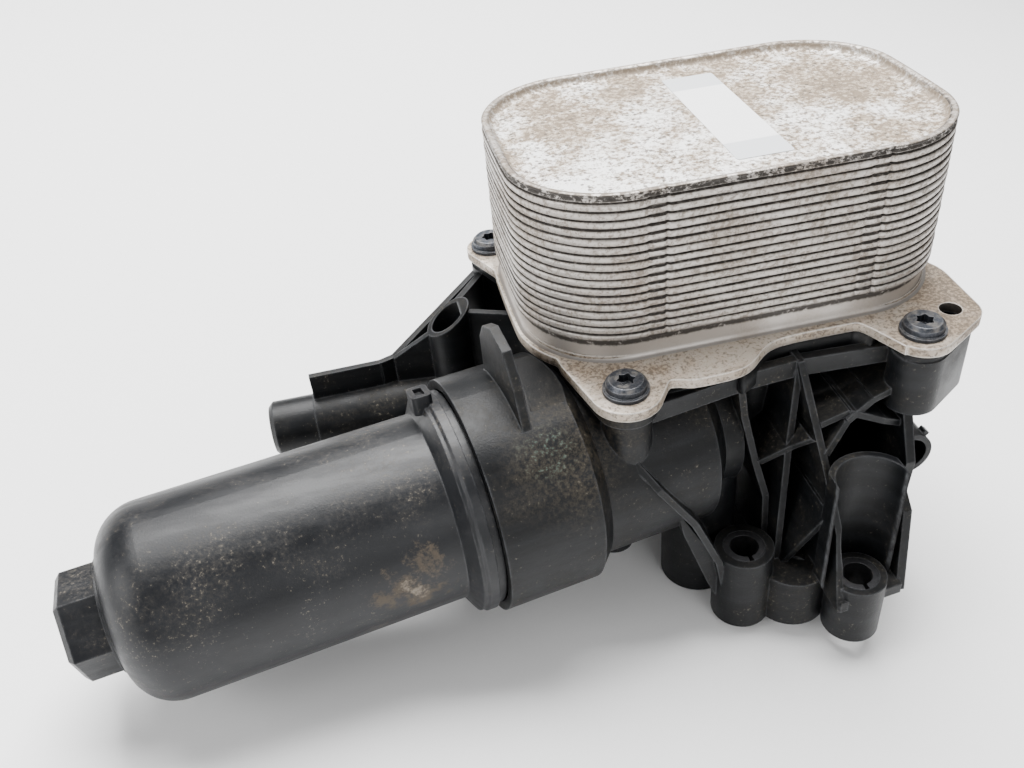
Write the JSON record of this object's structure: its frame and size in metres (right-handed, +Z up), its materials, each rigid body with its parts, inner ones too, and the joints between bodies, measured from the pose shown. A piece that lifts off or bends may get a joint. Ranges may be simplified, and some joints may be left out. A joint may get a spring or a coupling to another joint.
{
  "type": "oil filter housing",
  "caption": "Black moulded oil filter housing with a hexagon-ended screw cap, ribbed engine bracket, hose stub and a stacked-plate aluminium oil cooler screwed on top.",
  "frame": {"origin": "on the engine face, straight below the centre of the oil cooler", "axes": "+X along the long side of the cooler away from the filter cap, +Y across it away from the viewer's side, +Z up from the engine face to the cooler"},
  "size_m": [0.2752, 0.1502, 0.1502],
  "materials": {
    "moulded_nylon": "satin",
    "cap_nylon": "satin",
    "cooler_aluminium": "dull",
    "label": "matte",
    "screw_steel": "satin",
    "sleeve_steel": "satin",
    "seal_rubber": "matte",
    "filter_paper": "matte",
    "inner_plastic": "satin",
    "spring_steel": "satin"
  },
  "bodies": {
    "housing": {"housing": "moulded_nylon", "cooler_core": "cooler_aluminium", "label_strip": "label", "cooler_screw_front_left": "screw_steel", "cooler_screw_front_right": "screw_steel", "cooler_screw_back_left": "screw_steel", "cooler_screw_back_right": "screw_steel", "mounting_sleeve_front": "sleeve_steel", "mounting_sleeve_right": "sleeve_steel", "mounting_sleeve_back": "sleeve_steel", "cooler_seal_oil_in": "seal_rubber", "cooler_seal_oil_out": "seal_rubber", "cooler_seal_coolant_in": "seal_rubber", "cooler_seal_coolant_out": "seal_rubber", "port_seal_oil_in": "seal_rubber", "port_seal_oil_out": "seal_rubber", "port_seal_coolant_in": "seal_rubber", "standpipe": "inner_plastic", "bypass_spring": "spring_steel", "bypass_retainer": "inner_plastic", "check_seat": "inner_plastic", "check_spring": "spring_steel", "check_cage": "inner_plastic"},
    "element": {"filter_media": "filter_paper", "end_disc_front": "inner_plastic", "end_disc_rear": "inner_plastic", "filter_core_tube": "inner_plastic"},
    "cap": {"filter_cap": "cap_nylon", "cap_seal_ring": "seal_rubber"},
    "bypass_valve": {"bypass_plunger": "inner_plastic"},
    "check_valve": {"check_disc": "inner_plastic"}
  },
  "joints": [
    {"name": "cap_turn_out", "type": "slide", "parent": "housing", "child": "element", "axis": [-0.9853, -0.1711, 0], "range_m": [0, 0.0121]},
    {"name": "cap_spin", "type": "hinge", "parent": "element", "child": "cap", "pos_m": [-0.0919, -0.0441, 0.06], "axis": [-0.9853, -0.1711, 0], "range_deg": [0, 1440]},
    {"name": "bypass_lift", "type": "slide", "parent": "housing", "child": "bypass_valve", "axis": [0.9853, 0.1711, 0], "range_m": [0, 0.004], "stiffness_N_per_m": 700, "springref_m": -0.003, "deforming": ["bypass_spring"]},
    {"name": "check_lift", "type": "slide", "parent": "housing", "child": "check_valve", "axis": [0, 0, 1], "range_m": [0, 0.003], "stiffness_N_per_m": 100, "springref_m": -0.002, "deforming": ["check_spring"]}
  ],
  "couplings": [
    {"joint": "cap_turn_out", "follows": "cap_spin", "m_per_rad": 0.00047746}
  ]
}
